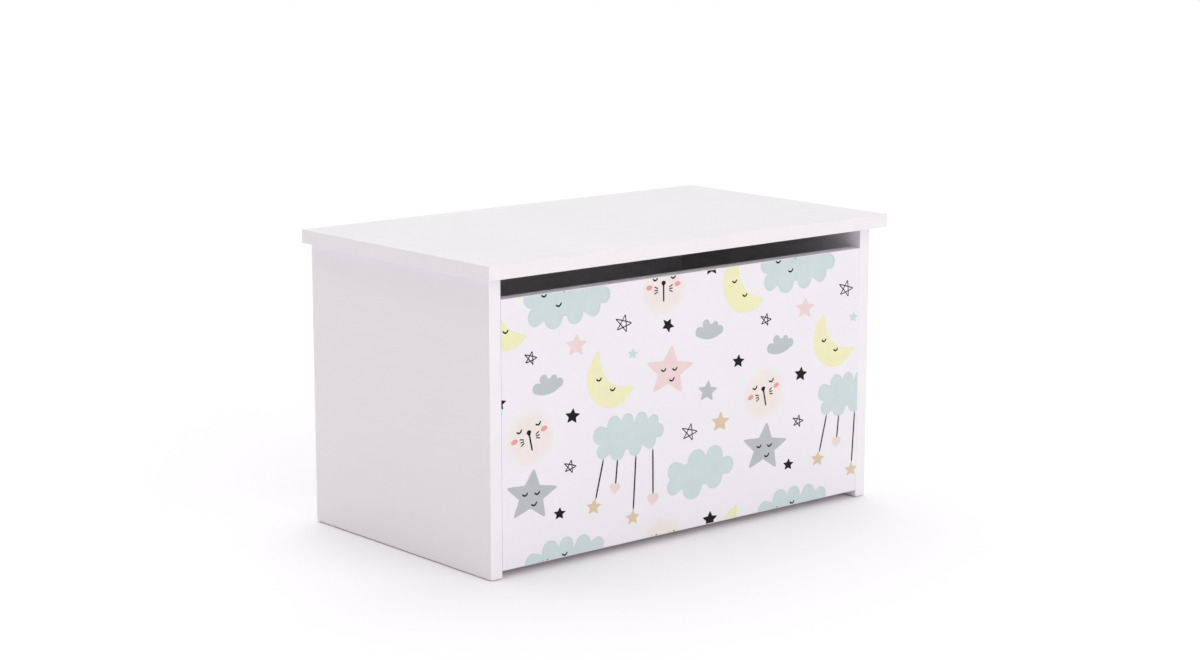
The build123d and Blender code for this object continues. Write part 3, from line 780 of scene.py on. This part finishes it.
class PrintStars(bpy.types.Operator):
    """Print the sleeping stars, the small stars and the drawn ones"""
    bl_idname = "toy_box.stars"
    bl_label = "Stars"

    def execute(self, context):
        pink_star, grey_star = (280.5, 217), (49.5, 89)
        large = star(37.3, notch=0.44, wide=1.15)
        pink = moved(large, *pink_star, -7) + moved(star(16), 123, 271, -4)
        grey = moved(large, *grey_star, -7) + moved(star(16), 348, 181, -8)
        fill_ink("printed_pink_stars", pink, "pink")
        fill_ink("printed_grey_stars", grey, "grey")
        fill_ink("printed_mint_star", moved(star(8), 217, 248, -8), "mint")
        fill_ink("printed_tan_star", moved(star(15), 371.5, 136, -5), "tan")
        small = ((116.5, 181, 11.2, -8), (277.5, 278, 10.2, -30), (403.5, 214, 10.1, -6), (95, 58, 9.1, -4),
                 (354, 6, 12.2, -2))
        black = [grid for x, z, radius, tilt in small for grid in moved(star(radius), x, z, tilt)]
        fill_ink("printed_black_stars", black, "black")
        drawn = ((201, 289, 13.2, -16), (49, 264, 9.8, -16), (112, 116, 9.8, -16), (316, 130, 13.2, -15))
        lines = [grid for x, z, radius, tilt in drawn for grid in moved(drawn_star(radius), x, z, tilt)]
        line_ink("printed_drawn_stars", lines)
        eyes, mouth = ((-10.5, 3.5), (9, 2.5)), (4, -11)
        faces = sleepy_face(*pink_star, eyes, mouth) + sleepy_face(*grey_star, eyes, mouth)
        line_ink("printed_star_faces", faces)
        return {"FINISHED"}


class PrintAnimals(bpy.types.Operator):
    """Print the round animal faces"""
    bl_idname = "toy_box.animals"
    bl_label = "Animal faces"

    def execute(self, context):
        places = ((269.5, 334, 0), (46, 170, 12))
        film = context.scene.toy_box.board.film
        face = moved(disc(87, 82), 0, -7)
        cheeks = moved(disc(10.4, 6.4), -24.5, -3.5, 4) + moved(disc(10.4, 6.4), 24, -3, 4)
        fill_ink("printed_animal_faces", put_each(face, places), "peach", ground=film, fade=0.45)
        line_ink("printed_animal_lines", put_each(animal_face(), places))
        fill_ink("printed_cheeks", put_each(cheeks, places), "blush", on_top=True)
        return {"FINISHED"}


class PrintMobiles(bpy.types.Operator):
    """Print the strings under the cloud, with their stars and hearts"""
    bl_idname = "toy_box.mobiles"
    bl_label = "Mobiles"

    def execute(self, context):
        ends = (((168, 118), (154.6, 66)), ((191.5, 113), (188.3, 81)),
                ((223, 115), (218.5, 41)), ((252, 119), (252.7, 56)))
        line_ink("printed_strings", [grid for top, foot in ends for grid in stroke(top, foot, width=2.4)])
        stars = moved(star(11.5), 151.6, 57, -6) + moved(star(11), 217.5, 32, -2)
        fill_ink("printed_string_stars", stars, "tan")
        hearts = moved(heart(17.5, 15.5), 187.3, 76, -4) + moved(heart(20, 17.5), 252.5, 51, -2)
        fill_ink("printed_hearts", hearts, "pink")
        return {"FINISHED"}


class SetStage(bpy.types.Operator):
    """Lay the pale floor and set up the light and the camera"""
    bl_idname = "toy_box.stage"
    bl_label = "Stage"

    def execute(self, context):
        stage = context.scene.toy_box.stage
        self.lay_floor(stage)
        self.light(context.scene, stage)
        self.aim_camera(context.scene, stage)
        return {"FINISHED"}

    @staticmethod
    def lay_floor(stage):
        """Round floor: rings whose radius grows evenly, turned about Z."""
        turn = once_round(96)
        reach = np.linspace(0, stage.floor_radius, 5)[:, None]
        level = np.zeros((len(reach), len(turn)))
        grid = np.stack([reach * np.cos(turn), reach * np.sin(turn), level, level], -1)
        mesh = build_mesh("floor", [grid], flat_side=(0, 0, 1))
        floor = bpy.data.objects.new("floor", mesh)
        bpy.context.scene.collection.objects.link(floor)
        recipe = Recipe("paper")
        tooth = recipe.noise(300, detail=2)
        paper = recipe.mix(recipe.span(tooth, 0, 1), shaded(stage.floor, 0.998), shaded(stage.floor, 1.0))
        recipe.surface(base_color=paper, roughness=0.9, specular_ior_level=0.1)
        mesh.materials.append(recipe.material)

    @staticmethod
    def light(scene, stage):
        """Even white sky, a soft lamp low in front and a soft lamp high behind."""
        world = bpy.data.worlds.new("studio")
        world.use_nodes = True
        background = world.node_tree.nodes["Background"]
        background.inputs["Color"].default_value = (1, 1, 1, 1)
        background.inputs["Strength"].default_value = stage.sky
        scene.world = world
        for name in ("front", "back"):
            lamp = bpy.data.lights.new(f"{name}_lamp", "SUN")
            lamp.energy = getattr(stage, name)
            lamp.angle = stage.softness
            stand = bpy.data.objects.new(f"{name}_lamp", lamp)
            tilt = math.pi / 2 - getattr(stage, f"{name}_height")
            stand.rotation_euler = (tilt, 0, getattr(stage, f"{name}_turn"))
            scene.collection.objects.link(stand)

    @staticmethod
    def aim_camera(scene, stage):
        """Camera at its stand, turned to the right and tilted down."""
        lens = bpy.data.cameras.new("camera")
        lens.lens = stage.lens
        lens.clip_end = 2 * stage.floor_radius
        camera = bpy.data.objects.new("camera", lens)
        camera.location = (-stage.camera_left, -stage.camera_back, stage.camera_up)
        camera.rotation_euler = (math.pi / 2 - stage.camera_tilt, 0, -stage.camera_turn)
        scene.collection.objects.link(camera)
        scene.camera = camera
        scene.view_settings.view_transform = "Standard"


class ToyBoxPanel(bpy.types.Panel):
    """Lists the toy box's pieces and its stage"""
    bl_idname = "VIEW3D_PT_toy_box"
    bl_label = "Toy box"
    bl_space_type = "VIEW_3D"
    bl_region_type = "UI"
    bl_category = "Toy box"

    def draw(self, context):
        for operator in OPERATORS:
            self.layout.operator(operator.bl_idname)


OPERATORS = (MakeBoards, MakeEdging, MakeJointFittings, MakeHinges, MakeStrut, MakeBumpers, MakeFilm,
             PrintClouds, PrintMoons, PrintStars, PrintAnimals, PrintMobiles, SetStage)
CLASSES = (BoardSettings, PrintSettings, FittingSettings, StageSettings, ToyBoxSettings, *OPERATORS,
           ToyBoxPanel)


def register():
    """Registers the classes and gives each scene its settings."""
    for item in CLASSES:
        bpy.utils.register_class(item)
    bpy.types.Scene.toy_box = PointerProperty(type=ToyBoxSettings)


def unregister():
    """Takes the settings and the classes away again."""
    del bpy.types.Scene.toy_box
    for item in reversed(CLASSES):
        bpy.utils.unregister_class(item)


def main():
    """Registers the add-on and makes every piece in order."""
    register()
    for operator in OPERATORS:
        group, name = operator.bl_idname.split(".")
        getattr(getattr(bpy.ops, group), name)()


if __name__ == "__main__":
    main()
